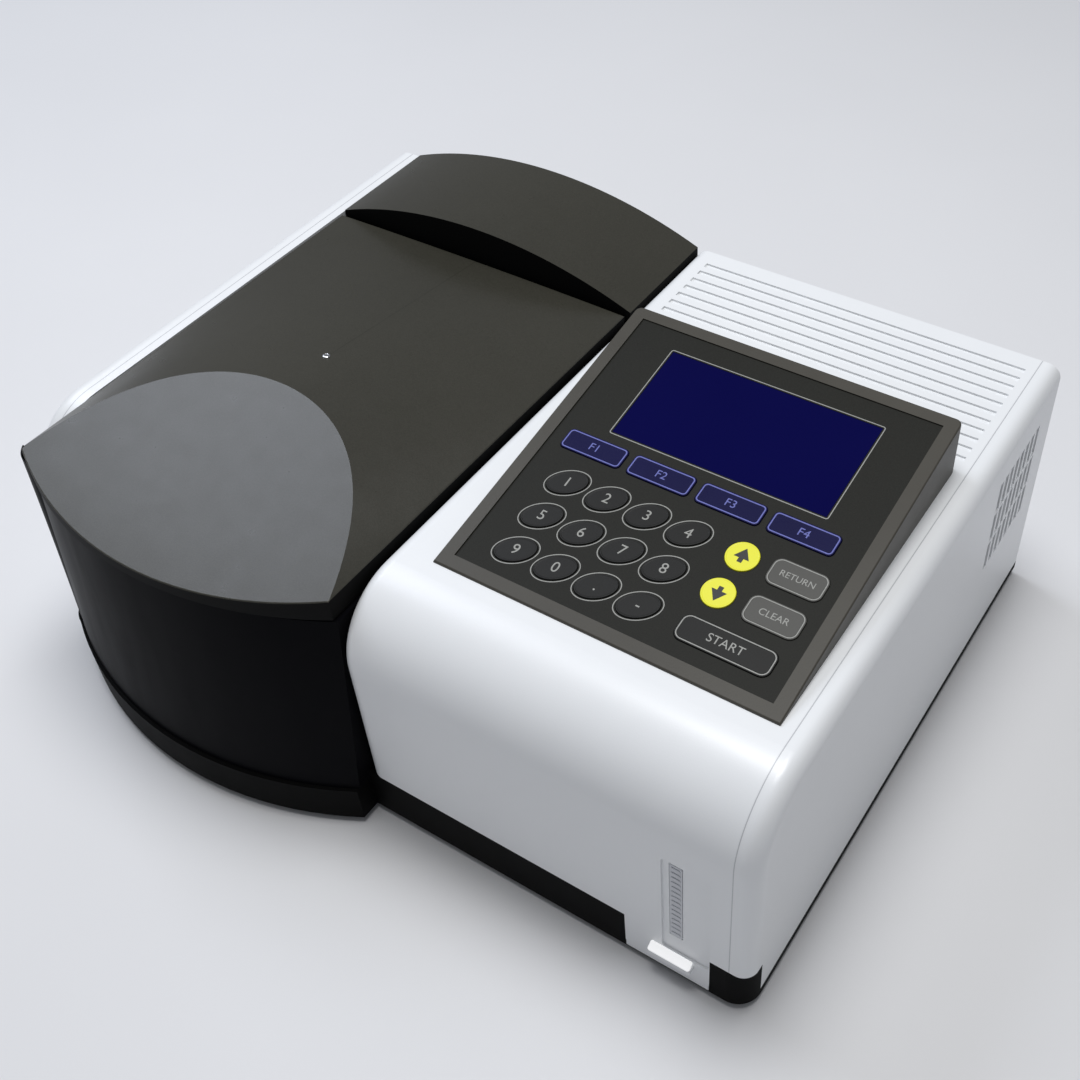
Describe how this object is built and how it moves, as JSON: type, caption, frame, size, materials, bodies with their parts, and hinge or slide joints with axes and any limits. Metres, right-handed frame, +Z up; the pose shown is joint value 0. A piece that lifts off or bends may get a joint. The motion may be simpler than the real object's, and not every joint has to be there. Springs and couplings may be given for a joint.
{
  "type": "spectrophotometer",
  "caption": "Benchtop spectrophotometer with a hinged crowned lid over the sample well, a tilted keypad and screen, and a motorised cell carriage.",
  "frame": {"origin": "centre of the whole footprint at the underside of the feet, on the bench top", "axes": "+X to the right along the front, +Y to the rear, +Z up; the user stands on the -Y side"},
  "size_m": [0.5, 0.411, 0.2108],
  "materials": {
    "casing_white": "semi-gloss moulded, off-white",
    "pan_black": "satin moulded black",
    "nose_black": "gloss black",
    "deck_black": "fine textured black",
    "lid_brown_grey": "dark warm grey lacquer with a satin sheen",
    "bezel_grey": "satin brown-grey",
    "fascia_print": "fine grained film",
    "key_dark": "embossed film, dark with a pale ring",
    "key_navy": "embossed film, navy",
    "key_yellow": "embossed film, yellow",
    "key_grey": "embossed film, grey",
    "screen_glass": "clear window over a navy display",
    "rubber_black": "matt",
    "foam_black": "closed-cell foam",
    "steel_bright": "ground",
    "sheet_grey": "textured powder coat",
    "tray_metal": "zinc plated",
    "alu_black": "black anodised",
    "alu_cast": "as cast",
    "board_green": "solder mask",
    "quartz": "clear",
    "mirror_coat": "aluminised",
    "fan_black": "moulded"
  },
  "bodies": {
    "chassis": {"base_pan": "pan_black", "main_cover": "casing_white", "left_side_panel": "casing_white", "rear_panel": "sheet_grey", "compartment_front": "nose_black", "compartment_deck": "deck_black", "sample_tub": "deck_black", "rear_hood": "lid_brown_grey", "lid_seal": "foam_black", "hinge_brackets": "deck_black", "hinge_pins": "steel_bright", "carriage_rails": "steel_bright", "panel_bezel": "bezel_grey", "panel_fascia": "fascia_print", "display_window": "screen_glass", "lcd_module": "tray_metal", "panel_board": "board_green", "power_inlet": "fan_black", "data_ports": "tray_metal", "fan_frame": "fan_black", "optical_bench": "alu_cast", "lamp_house": "tray_metal", "halogen_lamp": "quartz", "deuterium_lamp": "quartz", "stepper_motors": "tray_metal", "bench_mirrors": "mirror_coat", "detector": "alu_black", "main_board": "board_green", "power_supply": "tray_metal", "feet": "rubber_black", "case_screws": "steel_bright"},
    "lid_body": {"lid": "lid_brown_grey"},
    "carriage": {"cell_carriage": "alu_black"},
    "rocker": {"rocker_switch": "fan_black"},
    "fuse_tray": {"fuse_drawer": "fan_black"},
    "fan": {"fan_rotor": "fan_black"},
    "swing_mirror": {"lamp_mirror": "mirror_coat"},
    "filters": {"filter_wheel": "alu_black"},
    "grating": {"grating_table": "mirror_coat"},
    "key_f1_cap": {"key_f1": "key_navy"},
    "key_f2_cap": {"key_f2": "key_navy"},
    "key_f3_cap": {"key_f3": "key_navy"},
    "key_f4_cap": {"key_f4": "key_navy"},
    "key_0_cap": {"key_0": "key_dark"},
    "key_1_cap": {"key_1": "key_dark"},
    "key_2_cap": {"key_2": "key_dark"},
    "key_3_cap": {"key_3": "key_dark"},
    "key_4_cap": {"key_4": "key_dark"},
    "key_5_cap": {"key_5": "key_dark"},
    "key_6_cap": {"key_6": "key_dark"},
    "key_7_cap": {"key_7": "key_dark"},
    "key_8_cap": {"key_8": "key_dark"},
    "key_9_cap": {"key_9": "key_dark"},
    "key_point_cap": {"key_point": "key_dark"},
    "key_minus_cap": {"key_minus": "key_dark"},
    "key_up_cap": {"key_up": "key_yellow"},
    "key_down_cap": {"key_down": "key_yellow"},
    "key_return_cap": {"key_return": "key_grey"},
    "key_clear_cap": {"key_clear": "key_grey"},
    "key_start_cap": {"key_start": "key_dark"}
  },
  "joints": [
    {"name": "lid_hinge", "type": "hinge", "parent": "chassis", "child": "lid_body", "pos_m": [-0.1155, 0.1145, 0.17], "axis": [-1, 0, 0], "range_deg": [0, 75]},
    {"name": "cell_change", "type": "slide", "parent": "chassis", "child": "carriage", "axis": [0, -1, 0], "range_m": [0, 0.054]},
    {"name": "mains_rocker", "type": "hinge", "parent": "chassis", "child": "rocker", "pos_m": [-0.16, 0.197, 0.085], "axis": [1, 0, 0], "range_deg": [0, 20]},
    {"name": "fuse_pull", "type": "slide", "parent": "chassis", "child": "fuse_tray", "axis": [0, 1, 0], "range_m": [0, 0.018]},
    {"name": "fan_spin", "type": "hinge", "parent": "chassis", "child": "fan", "pos_m": [0.237, 0.1505, 0.115], "axis": [1, 0, 0], "continuous": true},
    {"name": "lamp_select", "type": "hinge", "parent": "chassis", "child": "swing_mirror", "pos_m": [0.168, 0.118, 0.105], "axis": [0, 0, 1], "range_deg": [-35, 35]},
    {"name": "filter_turn", "type": "hinge", "parent": "chassis", "child": "filters", "pos_m": [0.188, 0.08, 0.105], "axis": [0, 1, 0], "continuous": true},
    {"name": "wavelength_scan", "type": "hinge", "parent": "chassis", "child": "grating", "pos_m": [0.1, 0.045, 0.09], "axis": [0, 0, 1], "range_deg": [-10, 45]},
    {"name": "key_f1_press", "type": "slide", "parent": "chassis", "child": "key_f1_cap", "axis": [0, 0.1636, -0.9865], "range_m": [0, 0.0006], "stiffness_N_per_m": 2500},
    {"name": "key_f2_press", "type": "slide", "parent": "chassis", "child": "key_f2_cap", "axis": [0, 0.1636, -0.9865], "range_m": [0, 0.0006], "stiffness_N_per_m": 2500},
    {"name": "key_f3_press", "type": "slide", "parent": "chassis", "child": "key_f3_cap", "axis": [0, 0.1636, -0.9865], "range_m": [0, 0.0006], "stiffness_N_per_m": 2500},
    {"name": "key_f4_press", "type": "slide", "parent": "chassis", "child": "key_f4_cap", "axis": [0, 0.1636, -0.9865], "range_m": [0, 0.0006], "stiffness_N_per_m": 2500},
    {"name": "key_0_press", "type": "slide", "parent": "chassis", "child": "key_0_cap", "axis": [0, 0.1636, -0.9865], "range_m": [0, 0.0006], "stiffness_N_per_m": 2500},
    {"name": "key_1_press", "type": "slide", "parent": "chassis", "child": "key_1_cap", "axis": [0, 0.1636, -0.9865], "range_m": [0, 0.0006], "stiffness_N_per_m": 2500},
    {"name": "key_2_press", "type": "slide", "parent": "chassis", "child": "key_2_cap", "axis": [0, 0.1636, -0.9865], "range_m": [0, 0.0006], "stiffness_N_per_m": 2500},
    {"name": "key_3_press", "type": "slide", "parent": "chassis", "child": "key_3_cap", "axis": [0, 0.1636, -0.9865], "range_m": [0, 0.0006], "stiffness_N_per_m": 2500},
    {"name": "key_4_press", "type": "slide", "parent": "chassis", "child": "key_4_cap", "axis": [0, 0.1636, -0.9865], "range_m": [0, 0.0006], "stiffness_N_per_m": 2500},
    {"name": "key_5_press", "type": "slide", "parent": "chassis", "child": "key_5_cap", "axis": [0, 0.1636, -0.9865], "range_m": [0, 0.0006], "stiffness_N_per_m": 2500},
    {"name": "key_6_press", "type": "slide", "parent": "chassis", "child": "key_6_cap", "axis": [0, 0.1636, -0.9865], "range_m": [0, 0.0006], "stiffness_N_per_m": 2500},
    {"name": "key_7_press", "type": "slide", "parent": "chassis", "child": "key_7_cap", "axis": [0, 0.1636, -0.9865], "range_m": [0, 0.0006], "stiffness_N_per_m": 2500},
    {"name": "key_8_press", "type": "slide", "parent": "chassis", "child": "key_8_cap", "axis": [0, 0.1636, -0.9865], "range_m": [0, 0.0006], "stiffness_N_per_m": 2500},
    {"name": "key_9_press", "type": "slide", "parent": "chassis", "child": "key_9_cap", "axis": [0, 0.1636, -0.9865], "range_m": [0, 0.0006], "stiffness_N_per_m": 2500},
    {"name": "key_point_press", "type": "slide", "parent": "chassis", "child": "key_point_cap", "axis": [0, 0.1636, -0.9865], "range_m": [0, 0.0006], "stiffness_N_per_m": 2500},
    {"name": "key_minus_press", "type": "slide", "parent": "chassis", "child": "key_minus_cap", "axis": [0, 0.1636, -0.9865], "range_m": [0, 0.0006], "stiffness_N_per_m": 2500},
    {"name": "key_up_press", "type": "slide", "parent": "chassis", "child": "key_up_cap", "axis": [0, 0.1636, -0.9865], "range_m": [0, 0.0006], "stiffness_N_per_m": 2500},
    {"name": "key_down_press", "type": "slide", "parent": "chassis", "child": "key_down_cap", "axis": [0, 0.1636, -0.9865], "range_m": [0, 0.0006], "stiffness_N_per_m": 2500},
    {"name": "key_return_press", "type": "slide", "parent": "chassis", "child": "key_return_cap", "axis": [0, 0.1636, -0.9865], "range_m": [0, 0.0006], "stiffness_N_per_m": 2500},
    {"name": "key_clear_press", "type": "slide", "parent": "chassis", "child": "key_clear_cap", "axis": [0, 0.1636, -0.9865], "range_m": [0, 0.0006], "stiffness_N_per_m": 2500},
    {"name": "key_start_press", "type": "slide", "parent": "chassis", "child": "key_start_cap", "axis": [0, 0.1636, -0.9865], "range_m": [0, 0.0006], "stiffness_N_per_m": 2500}
  ]
}
